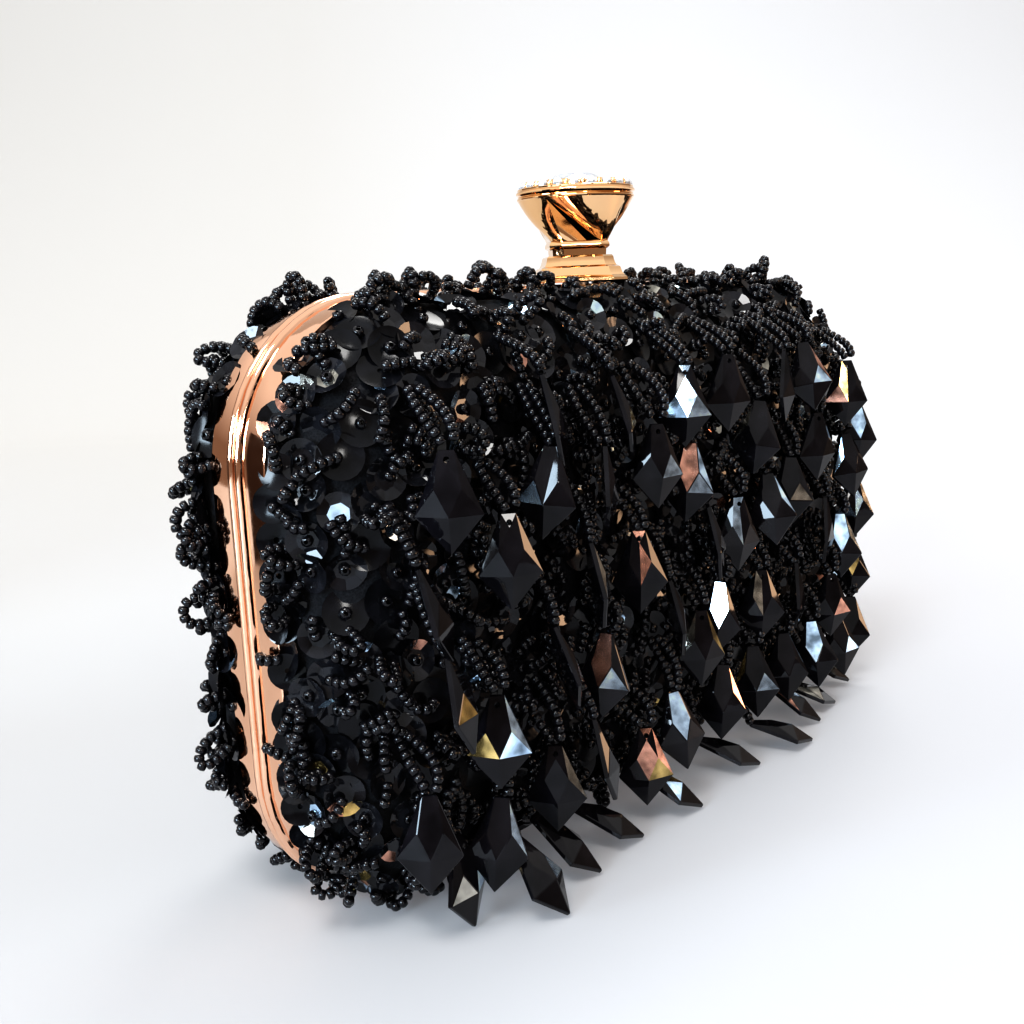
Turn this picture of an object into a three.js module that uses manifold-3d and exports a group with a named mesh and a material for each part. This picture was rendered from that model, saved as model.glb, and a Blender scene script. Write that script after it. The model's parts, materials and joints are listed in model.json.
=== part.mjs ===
// Hard-shell evening bag: two domed halves in metal frames, hinged along the bottom, with a
// press-down jewelled knob that lifts a latch, and faceted drops hanging on the front cover.
// Units are millimetres. +X runs along the width, the front faces -Y and +Z is up.
import * as THREE from 'three';
import { ConvexGeometry } from 'three/addons/geometries/ConvexGeometry.js';
import { mergeVertices } from 'three/addons/utils/BufferGeometryUtils.js';
import Module from 'manifold-3d';

const wasm = await Module();
wasm.setup();

// Driving dimensions.
const WIDTH = 200;
const HEIGHT = 114;
const CORNER = 30;
const GAP = 0.3;
const SEAM = 0.2;
const BAND = 7.4;
const BAND_WALL = 1.2;
const BAND_SLOPE = 0.3;
const BEAD = 0.9;
const FLANGE = 4;
const FLANGE_DEPTH = 2.2;
const SHELL_WALL = 2;
const LINING_WALL = 1;
const COVER_EDGE = 1.5;
const COVER_WALL = 2.5;
const DOME_INSET = 22;
const DOME_DEPTH = 15.5;
const CROWN = 2;
const MIN_CORNER = 6;
const ARC_STEPS = 5;
const DOME_STEPS = 4;

const HINGE_Z = 2;
const BARREL_R = 2;
const PIN_R = 0.8;
const PIN_BORE_R = 1.1;
const HINGE_LENGTH = 138;
const KNUCKLES = 7;
const KNUCKLE_GAP = 0.4;
const LEAF_THICKNESS = 1;
const LEAF_ROOM = 1.3;
const HINGE_SLOT_X = 84;
const HINGE_SLOT_Y = 2.6;
const HINGE_SLOT_Z = 4.6;

// Knob: heights of its plates and neck, and the cut corners as a share of each square's side.
const PLATE_SIDE = 20.4;
const PLATE_FLOOR_Z = 115.2;
const PLATE_TOP_Z = 116.1;
const PLINTH_SIDE = 18.7;
const PLINTH_STEP_Z = 118.2;
const STEP_SIDE = 17.3;
const PLINTH_TOP_Z = 121.2;
const SOCKET_FLOOR_Z = 116.8;
const CUT_SHARE = 0.18;
const NECK_SIDE = 13.4;
const NECK_BOTTOM_Z = 119.8;
const NECK_TOP_Z = 124.8;
const CUP_TOP_Z = 135.4;
const RIM_R = 13.2;
const RIM_LIP = 0.25;
const RIM_THICKNESS = 1;
const BEZEL_HEIGHT = 1.9;
const CRYSTAL_R = 8.6;
const CRYSTAL_HEIGHT = 3.8;

// Press parts: stem, its bush in the frames and the spring under the cup.
const STEM_R = 2;
const STEM_FOOT_R = 3.2;
const STEM_TIP_R = 0.8;
const STEM_BOTTOM_Z = 105.5;
const STEM_TOP_Z = 127.6;
const BUSH_R = 3.4;
const BUSH_FLANGE_R = 5;
const BUSH_BOTTOM_Z = 108.2;
const BUSH_TOP_Z = 114.7;
const NOTCH_R = 3.8;
const SPRING_R = 3.6;
const SPRING_TURNS = 3.5;
const SPRING_WIRE_R = 0.35;
const SPRING_BOTTOM_Z = 117.5;
const SPRING_TOP_Z = 123.3;
const SPRING_BORE_R = 4.7;

// Lock: a rocker on a cross pin at (LATCH_X, LATCH_Z), and plates that hang from the flanges.
const LATCH_X = 8;
const LATCH_Z = 102.6;
const LATCH_PIN_R = 1;
const LATCH_BORE_R = 1.3;
const HOOK_X0 = 15;
const HOOK_X1 = 18.5;
const HOOK_FINGER_Z = 99;
const ROCKER_THIN = 0.8;
const ROCKER_HALF = 1.4;
const LOCK_PLATE = 1.2;
const FLANGE_Z = 109.7;
const FOOT_THICKNESS = 1.1;

const KITE_WIDTH = 11.6;
const KITE_HEIGHT = 17.6;
const KITE_EDGE = 0.9;
const KITE_DEPTH = 3.1;
const KITE_WIDEST = 0.62;
const KITE_HOLE_R = 0.55;
const KITE_HOLE_DROP = 1.5;
const KITE_STANDOFF = 5.4;

// Drops on the front cover: x, height of the top, and turn about the vertical in degrees.
const DROPS = [
  [-82, 89, -50], [-68, 76, -40], [-39, 84, 40], [-27, 65, -50], [-7, 97, -45],
  [-20, 86, -30], [12, 98, -30], [39, 97, 20], [74, 92, -50], [56, 80, -25],
  [14, 65, -30], [61, 57, 30], [88, 58, -50], [-3, 42, -35], [26, 45, -50],
  [44, 43, 35], [-73, 44, -50], [-57, 29, -50], [-26, 22, -45], [66, 35, -40],
];

const materials = {
  frame: new THREE.MeshStandardMaterial({ color: 0xd9a184, roughness: 0.15, metalness: 1 }),
  gold: new THREE.MeshStandardMaterial({ color: 0xd8a060, roughness: 0.12, metalness: 1 }),
  steel: new THREE.MeshStandardMaterial({ color: 0xb8b8bc, roughness: 0.35, metalness: 1 }),
  shell: new THREE.MeshStandardMaterial({ color: 0x2a2a2c, roughness: 0.6, metalness: 0 }),
  cover: new THREE.MeshStandardMaterial({ color: 0x0b0b0d, roughness: 0.8, metalness: 0 }),
  lining: new THREE.MeshStandardMaterial({ color: 0x1a1a1e, roughness: 0.5, metalness: 0 }),
  crystal: new THREE.MeshStandardMaterial({ color: 0xe8eef4, roughness: 0.05, metalness: 0 }),
  drop: new THREE.MeshStandardMaterial({ color: 0x060607, roughness: 0.08, metalness: 0 }),
};

// ---- helpers -----------------------------------------------------------------------------

// Weld a geometry's corners and drop everything but its positions.
function welded(geometry) {
  const plain = geometry.index ? geometry.toNonIndexed() : geometry.clone();
  plain.deleteAttribute('normal');
  plain.deleteAttribute('uv');
  return mergeVertices(plain, 1e-4);
}

// Volume enclosed by an indexed geometry, negative when its faces point in.
function signedVolume(geometry) {
  const position = geometry.attributes.position;
  const corners = [new THREE.Vector3(), new THREE.Vector3(), new THREE.Vector3()];
  let volume = 0;
  for (let i = 0; i < geometry.index.count; i += 3) {
    corners.forEach((corner, k) => corner.fromBufferAttribute(position, geometry.index.getX(i + k)));
    volume += corners[0].dot(corners[1].clone().cross(corners[2])) / 6;
  }
  return volume;
}

// Turn the faces of a closed geometry so that they point out.
function facingOut(geometry) {
  const solid = welded(geometry);
  if (signedVolume(solid) < 0) {
    const index = solid.index.array;
    for (let i = 0; i < index.length; i += 3) {
      [index[i + 1], index[i + 2]] = [index[i + 2], index[i + 1]];
    }
  }
  return solid;
}

function toManifold(geometry) {
  const solid = facingOut(geometry);
  return new wasm.Manifold(new wasm.Mesh({
    numProp: 3,
    vertProperties: new Float32Array(solid.attributes.position.array),
    triVerts: new Uint32Array(solid.index.array),
  }));
}

function fromManifold(manifold) {
  const mesh = manifold.getMesh();
  const geometry = new THREE.BufferGeometry();
  geometry.setAttribute('position', new THREE.BufferAttribute(mesh.vertProperties, 3));
  geometry.setIndex(new THREE.BufferAttribute(mesh.triVerts, 1));
  return geometry;
}

// Join the first geometries and cut the second ones away.
function combine(joined, cuts = []) {
  let result = toManifold(joined[0]);
  joined.slice(1).forEach((geometry) => { result = result.add(toManifold(geometry)); });
  cuts.forEach((geometry) => { result = result.subtract(toManifold(geometry)); });
  return fromManifold(result);
}

// Box between two corners.
function box(x0, x1, y0, y1, z0, z1) {
  const geometry = new THREE.BoxGeometry(x1 - x0, y1 - y0, z1 - z0);
  return geometry.translate((x0 + x1) / 2, (y0 + y1) / 2, (z0 + z1) / 2);
}

// Solid turned about the vertical through (0, 0): profile points are [radius, z].
function turned(profile, segments = 24) {
  const points = profile.map(([radius, z]) => new THREE.Vector2(radius, z));
  return new THREE.LatheGeometry(points, segments).rotateX(Math.PI / 2);
}

function rodAlongX(radius, x0, x1, z, segments = 16) {
  const rod = new THREE.CylinderGeometry(radius, radius, x1 - x0, segments);
  return rod.rotateZ(Math.PI / 2).translate((x0 + x1) / 2, 0, z);
}

function rodAlongY(radius, y0, y1, x, z, segments = 16) {
  return new THREE.CylinderGeometry(radius, radius, y1 - y0, segments).translate(x, (y0 + y1) / 2, z);
}

// One closed surface through rings of equal point count. An open chain is capped at both ends,
// and a closed chain runs from the last ring back to the first.
function loft(rings, closed) {
  const count = rings[0].length;
  const points = rings.flat();
  const index = [];
  const last = closed ? rings.length : rings.length - 1;
  for (let r = 0; r < last; r += 1) {
    const next = (r + 1) % rings.length;
    for (let i = 0; i < count; i += 1) {
      const j = (i + 1) % count;
      const [a, b, c, d] = [r * count + i, r * count + j, next * count + j, next * count + i];
      index.push(a, b, c, a, c, d);
    }
  }
  if (!closed) {
    [0, rings.length - 1].forEach((r) => {
      const middle = rings[r].reduce((sum, p) => sum.add(p), new THREE.Vector3()).divideScalar(count);
      points.push(middle);
      for (let i = 0; i < count; i += 1) {
        const [a, b] = [r * count + i, r * count + ((i + 1) % count)];
        index.push(points.length - 1, ...(r === 0 ? [b, a] : [a, b]));
      }
    });
  }
  const geometry = new THREE.BufferGeometry().setFromPoints(points);
  geometry.setIndex(index);
  return geometry;
}

// ---- outline of the halves ---------------------------------------------------------------

// Ring of points round the bag, set in from its outline and at a depth from the seam.
// slope is an extra inset that fades out towards the flat bottom.
function ring(inset, depth, scale = 1, slope = 0) {
  const radius = Math.max(CORNER - inset, MIN_CORNER);
  const [cx, cz] = [WIDTH / 2 - inset - radius, HEIGHT / 2 - inset - radius];
  const points = [];
  [[1, 1], [-1, 1], [-1, -1], [1, -1]].forEach(([sx, sz], corner) => {
    for (let step = 0; step <= ARC_STEPS; step += 1) {
      const angle = (corner + step / ARC_STEPS) * Math.PI / 2;
      const low = sz < 0 ? Math.max(0, -Math.sin(angle)) : 0;
      const reach = radius - slope * (1 - low);
      const x = (sx * cx + reach * Math.cos(angle)) * scale;
      const z = (sz * cz + reach * Math.sin(angle)) * scale;
      points.push(new THREE.Vector3(x, -depth, z + HEIGHT / 2));
    }
  });
  return points;
}

// Rings of a dome, from its edge to the middle of its face.
function domeRings(edgeInset, edgeDepth, inset, depth) {
  const rings = [];
  for (let step = 0; step <= DOME_STEPS; step += 1) {
    const angle = step / DOME_STEPS * Math.PI / 2;
    rings.push(ring(edgeInset + inset * (1 - Math.cos(angle)), edgeDepth + depth * Math.sin(angle)));
  }
  [0.62, 0.25].forEach((scale) => {
    rings.push(ring(edgeInset + inset, edgeDepth + depth + CROWN * (1 - scale ** 2), scale));
  });
  return rings;
}

const shellInset = BAND_WALL + BAND_SLOPE + LEAF_ROOM;
const domeStart = BAND + GAP;

// Hollow half: an outer dome and an inner one, joined round the rim.
function hollowDome(outer, inner, rimDepth) {
  const rims = rimDepth === undefined ? [] : [
    ring(outer.edge, rimDepth), ring(inner.edge, rimDepth),
  ];
  const outerRings = domeRings(outer.edge, domeStart, outer.inset, outer.depth);
  const innerRings = domeRings(inner.edge, domeStart, inner.inset, inner.depth);
  return loft([...outerRings.reverse(), ...rims, ...innerRings], false);
}

function domeSurface(offset, edgeOffset = offset) {
  const inset = DOME_INSET - (edgeOffset - offset);
  return { edge: shellInset + edgeOffset, inset, depth: DOME_DEPTH - offset };
}

const lockPocket = () => box(-13, 26, -6.5, 6.5, 99, 112.5);

function shell() {
  const inner = domeSurface(SHELL_WALL);
  return combine([hollowDome(domeSurface(0), inner, FLANGE_DEPTH + GAP)], [lockPocket()]);
}

function lining() {
  const outer = domeSurface(SHELL_WALL + GAP);
  const inner = domeSurface(SHELL_WALL + GAP + LINING_WALL);
  return combine([hollowDome(outer, inner, FLANGE_DEPTH + GAP)], [lockPocket()]);
}

function cover() {
  const outer = domeSurface(-GAP - COVER_WALL, -GAP - COVER_EDGE);
  return facingOut(hollowDome(outer, domeSurface(-GAP)));
}

// Frame ring: a flange at the seam, a raised bead and a band that falls away from the seam.
function frame() {
  const section = [
    [FLANGE, SEAM, 0], [-0.5, SEAM, 0], [-BEAD, 0.7, 0], [-BEAD, 1.4, 0], [-0.2, 2.1, 0],
    [0, HINGE_SLOT_Y, 0], [0, BAND, BAND_SLOPE],
    [BAND_WALL, BAND, BAND_SLOPE], [BAND_WALL, FLANGE_DEPTH, 0], [FLANGE, FLANGE_DEPTH, 0],
  ];
  const rings = section.map(([inset, depth, slope]) => ring(inset, depth, 1, slope));
  const slot = box(-HINGE_SLOT_X, HINGE_SLOT_X, -HINGE_SLOT_Y, HINGE_SLOT_Y, -2, HINGE_SLOT_Z);
  const notch = upright(NOTCH_R, HEIGHT - 6, HEIGHT + 3);
  return combine([loft(rings, true)], [slot, notch]);
}

// The other half of a pair, mirrored through the seam.
function mirrored(geometry) {
  return facingOut(geometry.clone().scale(1, -1, 1));
}

// ---- hinge ------------------------------------------------------------------------------

// Leaf with its own knuckles: first is 0 for the front leaf and 1 for the rear one.
function hingeLeaf(side, first) {
  const pitch = (HINGE_LENGTH + KNUCKLE_GAP) / KNUCKLES;
  const ordered = (...depths) => depths.map((depth) => side * depth).sort((a, b) => a - b);
  const slab = (x0, x1, [y0, y1]) => (
    box(x0, x1, y0, y1, HINGE_Z - LEAF_THICKNESS / 2, HINGE_Z + LEAF_THICKNESS / 2)
  );
  const plate = ordered(BARREL_R + KNUCKLE_GAP, BAND - 0.5);
  const tab = ordered(BARREL_R / 2, BARREL_R + 2 * KNUCKLE_GAP);
  const solids = [slab(-HINGE_LENGTH / 2, HINGE_LENGTH / 2, plate)];
  for (let k = first; k < KNUCKLES; k += 2) {
    const x0 = -HINGE_LENGTH / 2 + k * pitch;
    const x1 = x0 + pitch - KNUCKLE_GAP;
    solids.push(rodAlongX(BARREL_R, x0, x1, HINGE_Z), slab(x0, x1, tab));
  }
  const bore = rodAlongX(PIN_BORE_R, -HINGE_LENGTH, HINGE_LENGTH, HINGE_Z, 12);
  return combine(solids, [bore]);
}

function hingePin() {
  return facingOut(rodAlongX(PIN_R, -HINGE_LENGTH / 2 - 1, HINGE_LENGTH / 2 + 1, HINGE_Z, 12));
}

// ---- knob -------------------------------------------------------------------------------

// Corners of a square with cut corners, turned so that its flats face the diagonals.
function cutSquare(side, z) {
  const half = side / 2;
  const flat = half - side * CUT_SHARE;
  const corners = [];
  for (let quarter = 0; quarter < 4; quarter += 1) {
    const turn = quarter * Math.PI / 2 + Math.PI / 4;
    [[half, -flat], [half, flat]].forEach(([x, y]) => {
      const corner = new THREE.Vector2(x, y).rotateAround(new THREE.Vector2(), turn);
      corners.push(new THREE.Vector3(corner.x, corner.y, z));
    });
  }
  return corners;
}

// Straight or tapering block between cut squares: steps are [side, z].
function cutBlock(steps) {
  return loft(steps.map(([side, z]) => cutSquare(side, z)), false);
}

// Solid rod on the vertical through (0, 0).
function upright(radius, z0, z1, segments = 24) {
  return turned([[0, z0], [radius, z0], [radius, z1], [0, z1]], segments);
}

function knobBase() {
  const plate = cutBlock([[PLATE_SIDE, PLATE_FLOOR_Z], [PLATE_SIDE, PLATE_TOP_Z]]);
  const plinth = cutBlock([
    [PLINTH_SIDE, PLATE_TOP_Z - GAP],
    [PLINTH_SIDE, PLINTH_STEP_Z],
    [STEP_SIDE, PLINTH_STEP_Z + 0.6],
    [STEP_SIDE, PLINTH_TOP_Z - 0.6],
    [STEP_SIDE - 1.1, PLINTH_TOP_Z],
  ]);
  const socketSide = NECK_SIDE + 2 * GAP + 0.2;
  const socket = cutBlock([[socketSide, SOCKET_FLOOR_Z], [socketSide, PLINTH_TOP_Z + 1]]);
  const stemHole = upright(STEM_R + GAP + 0.1, PLATE_FLOOR_Z - 1, SOCKET_FLOOR_Z + 1);
  return combine([plate, plinth], [socket, stemHole]);
}

// Flare of the cup: flat triangles rise from the four flats of the neck to the rim, and fans
// spread from its corners.
function cupFlare(fanSteps) {
  const rimSteps = 4 * fanSteps;
  const lean = THREE.MathUtils.degToRad(7);
  const points = cutSquare(NECK_SIDE, NECK_TOP_Z);
  const first = points.length;
  for (let step = 0; step < rimSteps; step += 1) {
    const angle = lean + step / rimSteps * Math.PI * 2;
    const [x, y] = [RIM_R * Math.cos(angle), RIM_R * Math.sin(angle)];
    points.push(new THREE.Vector3(x, y, CUP_TOP_Z - RIM_THICKNESS));
  }
  const onRim = (step) => first + (step % rimSteps);
  const index = [];
  for (let quarter = 0; quarter < 4; quarter += 1) {
    const [left, right, next] = [2 * quarter, 2 * quarter + 1, (2 * quarter + 2) % first];
    const apex = quarter * fanSteps;
    index.push(left, right, onRim(apex));
    for (let k = 0; k < fanSteps; k += 1) {
      index.push(right, onRim(apex + k + 1), onRim(apex + k));
    }
    index.push(right, next, onRim(apex + fanSteps));
  }
  for (let k = 1; k < first - 1; k += 1) index.push(0, k + 1, k);
  for (let step = 1; step < rimSteps - 1; step += 1) {
    index.push(first, onRim(step), onRim(step + 1));
  }
  const flare = new THREE.BufferGeometry().setFromPoints(points);
  flare.setIndex(index);
  return flare;
}

function knobCup() {
  const neck = cutBlock([[NECK_SIDE, NECK_BOTTOM_Z], [NECK_SIDE, NECK_TOP_Z]]);
  const rimFloor = CUP_TOP_Z - RIM_THICKNESS - 0.05;
  const rim = turned([
    [0, rimFloor],
    [RIM_R - 0.1, rimFloor],
    [RIM_R + RIM_LIP, rimFloor + 0.45],
    [RIM_R, CUP_TOP_Z],
    [0, CUP_TOP_Z],
  ]);
  const stemBore = upright(STEM_R + GAP, NECK_BOTTOM_Z - 1, STEM_TOP_Z + 0.4, 16);
  const springBore = upright(SPRING_BORE_R, NECK_BOTTOM_Z - 1, SPRING_TOP_Z + 0.8, 16);
  return combine([cupFlare(6), neck, rim], [stemBore, springBore]);
}

// Bezel: an outer lip, a gutter for the small stones and an inner lip round the crystal.
function knobBezel() {
  const z = CUP_TOP_Z + GAP;
  const inner = CRYSTAL_R + GAP;
  return facingOut(turned([
    [inner, z],
    [RIM_R, z],
    [RIM_R + RIM_LIP, z + 0.5],
    [RIM_R - 0.1, z + 1.4],
    [RIM_R - 1.2, z + 1.1],
    [inner + 1.3, z + 1.1],
    [inner, z + BEZEL_HEIGHT],
    [inner, z],
  ]));
}

function centreCrystal() {
  const z = CUP_TOP_Z + GAP;
  return facingOut(turned([
    [0, z],
    [CRYSTAL_R, z],
    [CRYSTAL_R, z + 1.3],
    [CRYSTAL_R * 0.8, z + 2.8],
    [CRYSTAL_R * 0.48, z + CRYSTAL_HEIGHT],
    [0, z + CRYSTAL_HEIGHT],
  ], 12));
}

// Stem with a foot under the bush and a tip that presses the rocker.
function pressStem() {
  const footTop = BUSH_BOTTOM_Z - GAP;
  return facingOut(turned([
    [0, STEM_BOTTOM_Z],
    [STEM_TIP_R, STEM_BOTTOM_Z],
    [STEM_TIP_R, STEM_BOTTOM_Z + 0.8],
    [STEM_FOOT_R, STEM_BOTTOM_Z + 1.1],
    [STEM_FOOT_R, footTop],
    [STEM_R, footTop],
    [STEM_R, STEM_TOP_Z],
    [0, STEM_TOP_Z],
  ], 16));
}

function stemBush() {
  const bore = STEM_R + GAP;
  return facingOut(turned([
    [bore, BUSH_BOTTOM_Z],
    [BUSH_FLANGE_R, BUSH_BOTTOM_Z],
    [BUSH_FLANGE_R, BUSH_BOTTOM_Z + 1.4],
    [BUSH_R, BUSH_BOTTOM_Z + 1.4],
    [BUSH_R, BUSH_TOP_Z],
    [bore, BUSH_TOP_Z],
    [bore, BUSH_BOTTOM_Z],
  ], 16));
}

function pressSpring() {
  const path = new THREE.Curve();
  path.getPoint = (t) => {
    const angle = t * SPRING_TURNS * Math.PI * 2;
    const z = THREE.MathUtils.lerp(SPRING_BOTTOM_Z, SPRING_TOP_Z, t);
    return new THREE.Vector3(SPRING_R * Math.cos(angle), SPRING_R * Math.sin(angle), z);
  };
  const wire = new THREE.Shape().absarc(0, 0, SPRING_WIRE_R, 0, Math.PI * 2);
  const options = { steps: 42, extrudePath: path, curveSegments: 3, bevelEnabled: false };
  return facingOut(new THREE.ExtrudeGeometry(wire, options));
}

// ---- lock -------------------------------------------------------------------------------

// Plate with a foot along its top, which hangs from a flange: y runs from the foot's near edge.
function hangingPlate(x0, x1, plate, foot, z0) {
  return [
    box(x0, x1, ...plate, z0, FLANGE_Z),
    box(x0, x1, ...foot, FLANGE_Z - FOOT_THICKNESS, FLANGE_Z),
  ];
}

function lockBracket() {
  const back = -2.2 - LOCK_PLATE;
  const solids = hangingPlate(5.6, 12, [back, -2.2], [back, -0.5], LATCH_Z - 2.6);
  return combine(solids, [rodAlongY(LATCH_BORE_R, -5, 0, LATCH_X, LATCH_Z)]);
}

function latchPin() {
  const headR = LATCH_PIN_R + 0.8;
  const [headY, tailY] = [-4.4, 2];
  return combine([
    rodAlongY(LATCH_PIN_R, headY + 0.2, tailY - 0.1, LATCH_X, LATCH_Z),
    rodAlongY(headR, headY, headY + 0.7, LATCH_X, LATCH_Z),
    rodAlongY(headR, tailY - 0.3, tailY, LATCH_X, LATCH_Z),
  ]);
}

// Rocker: the stem presses its left end, and the hook at its right end rises off the keeper.
function latchHook() {
  const [low, high] = [LATCH_Z - ROCKER_THIN, LATCH_Z + ROCKER_THIN];
  const reach = 5.2;
  const beam = box(-1.6, HOOK_X1, -ROCKER_HALF, ROCKER_HALF, low, LATCH_Z + 2.4);
  const arm = box(HOOK_X0, HOOK_X1, -ROCKER_HALF, reach, low, high);
  const finger = box(HOOK_X0, HOOK_X1, reach - ROCKER_HALF, reach, HOOK_FINGER_Z, LATCH_Z);
  const boss = rodAlongY(LATCH_BORE_R + 1, -ROCKER_HALF, ROCKER_HALF, LATCH_X, LATCH_Z);
  const rightTop = box(LATCH_X + 3, HOOK_X1 + 1, -2, 2, high, LATCH_Z + 4);
  const bore = rodAlongY(LATCH_BORE_R, -3, 3, LATCH_X, LATCH_Z);
  return combine([beam, boss, arm, finger], [rightTop, bore]);
}

// Keeper: a plate with a window that hangs from the rear flange and holds the hook.
function keeper() {
  const [near, far] = [2.3, 2.3 + LOCK_PLATE];
  const solids = hangingPlate(HOOK_X0 - 3, HOOK_X1 + 3.5, [near, far], [0.5, far], 97.5);
  const opening = box(HOOK_X0 - 1.5, HOOK_X1 + 2, near - 1, far + 1, 100.8, 107.4);
  return combine(solids, [opening]);
}

// ---- drops ------------------------------------------------------------------------------

// Kite-shaped faceted drop with a flat back and a thread hole, hanging from its top.
function kite() {
  const half = KITE_WIDTH / 2;
  const [shoulder, shoulderZ] = [2.3, -6.3];
  const widest = -KITE_WIDEST * KITE_HEIGHT;
  const outline = [[-1.3, 0], [1.3, 0], [half, widest], [0, -KITE_HEIGHT], [-half, widest]];
  const points = outline.flatMap(([x, z]) => [
    new THREE.Vector3(x, 0, z),
    new THREE.Vector3(x, -KITE_EDGE, z),
  ]);
  points.push(
    new THREE.Vector3(0, -1.5, -2.4),
    new THREE.Vector3(0, -KITE_DEPTH, widest),
    new THREE.Vector3(-shoulder, -2.2, shoulderZ),
    new THREE.Vector3(shoulder, -2.2, shoulderZ),
  );
  const hole = rodAlongY(KITE_HOLE_R, -KITE_DEPTH - 1, 1, 0, -KITE_HOLE_DROP, 8);
  return combine([new ConvexGeometry(points)], [hole]);
}

// Depth of the outer cover in front of the seam at a place on the face.
function coverDepth(x, z) {
  const surface = domeSurface(-GAP - COVER_WALL, -GAP - COVER_EDGE);
  const inset = Math.min(WIDTH / 2 - Math.abs(x), HEIGHT - z, z);
  const share = Math.min(1, Math.max(0, (inset - surface.edge) / surface.inset));
  return domeStart + surface.depth * Math.sqrt(1 - (1 - share) ** 2) + CROWN * share;
}

// ---- assembly ---------------------------------------------------------------------------

const group = new THREE.Group();

function place(name, geometry, material) {
  const mesh = new THREE.Mesh(geometry, material.clone());
  mesh.name = name;
  group.add(mesh);
  return mesh;
}

const halves = { frame: frame(), shell: shell(), cover: cover(), lining: lining() };
Object.entries(halves).forEach(([piece, geometry]) => {
  place(`front_${piece}`, geometry, materials[piece]);
  place(`rear_${piece}`, mirrored(geometry), materials[piece]);
});

place('hinge_leaf_front', hingeLeaf(-1, 0), materials.frame);
place('hinge_leaf_rear', hingeLeaf(1, 1), materials.frame);
place('hinge_pin', hingePin(), materials.steel);

place('knob_base', knobBase(), materials.gold);
place('knob_cup', knobCup(), materials.gold);
place('knob_bezel', knobBezel(), materials.gold);
place('centre_crystal', centreCrystal(), materials.crystal);
place('press_stem', pressStem(), materials.steel);
place('press_spring', pressSpring(), materials.steel);
place('stem_bush', stemBush(), materials.gold);

place('lock_bracket', lockBracket(), materials.steel);
place('latch_pin', latchPin(), materials.steel);
place('latch_hook', latchHook(), materials.steel);
place('keeper', keeper(), materials.steel);

DROPS.forEach(([x, z, turn], k) => {
  const drop = place(`kite_${String(k + 1).padStart(2, '0')}`, kite(), materials.drop);
  drop.rotation.z = THREE.MathUtils.degToRad(turn);
  drop.position.set(x, -coverDepth(x, z) - KITE_STANDOFF, z);
});

// The origin is under the middle of the whole bag, on the surface it stands on.
const bounds = new THREE.Box3().setFromObject(group);
group.position.y = -(bounds.min.y + bounds.max.y) / 2;

export default group;
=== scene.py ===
# Evening bag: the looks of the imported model. Lengths are in metres, in the model's own frame.
import json
import math

import bmesh
import bpy
import numpy as np
from mathutils import Matrix, Vector


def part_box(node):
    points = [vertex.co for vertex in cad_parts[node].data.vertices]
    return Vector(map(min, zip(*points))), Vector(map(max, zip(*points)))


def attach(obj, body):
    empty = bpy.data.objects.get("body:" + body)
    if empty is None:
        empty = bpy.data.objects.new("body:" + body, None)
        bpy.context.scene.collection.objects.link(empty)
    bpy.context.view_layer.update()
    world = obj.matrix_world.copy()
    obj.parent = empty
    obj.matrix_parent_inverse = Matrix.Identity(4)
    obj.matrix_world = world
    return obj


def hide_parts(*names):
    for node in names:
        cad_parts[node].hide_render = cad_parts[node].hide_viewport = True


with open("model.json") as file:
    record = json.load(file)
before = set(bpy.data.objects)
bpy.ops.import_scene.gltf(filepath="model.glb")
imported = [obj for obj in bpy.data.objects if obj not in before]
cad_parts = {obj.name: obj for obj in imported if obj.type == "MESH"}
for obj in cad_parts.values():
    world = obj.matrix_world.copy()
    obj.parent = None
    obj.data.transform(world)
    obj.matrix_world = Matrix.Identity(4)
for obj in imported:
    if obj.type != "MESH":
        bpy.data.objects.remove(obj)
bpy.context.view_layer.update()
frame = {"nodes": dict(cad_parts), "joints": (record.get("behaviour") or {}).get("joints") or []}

MM = 0.001
rng = np.random.default_rng(11)

# ---- sizes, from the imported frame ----

front_low, front_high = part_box("front_frame")
SEAM_Y = (front_high.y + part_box("rear_frame")[0].y) / 2
BEAD = 0.9 * MM
HALF_WIDTH = front_high.x - BEAD
HEIGHT = front_high.z - BEAD
CORNER = 30 * MM
MIN_CORNER = 6 * MM
BAND = SEAM_Y - front_low.y
BAND_SLOPE = 0.3 * MM
SEAM = SEAM_Y - front_high.y
HINGE_SLOT = (84 * MM, 2.6 * MM, 4.6 * MM)
STEM_NOTCH_R = 3.8 * MM
CROWN = 2 * MM
DOME_START = BAND + 0.3 * MM
DOME_INSET, DOME_DEPTH, SHELL_EDGE = 22 * MM, 15.5 * MM, 2.8 * MM
FABRIC_TOP = 1.3 * MM
FRONT, REAR = 1, -1

# ---- mesh helpers ----


def new_object(name, mesh, material, body):
    """Link a mesh as a piece that rides on a body."""
    piece = bpy.data.objects.new(name, mesh)
    bpy.context.scene.collection.objects.link(piece)
    mesh.materials.append(material)
    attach(piece, body)
    return piece


def mesh_from(name, points, faces, smooth=True):
    """Mesh from an array of points and a list of faces."""
    mesh = bpy.data.meshes.new(name)
    mesh.from_pydata([tuple(p) for p in points], [], faces)
    mesh.polygons.foreach_set("use_smooth", [smooth] * len(mesh.polygons))
    mesh.update()
    return mesh


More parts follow.
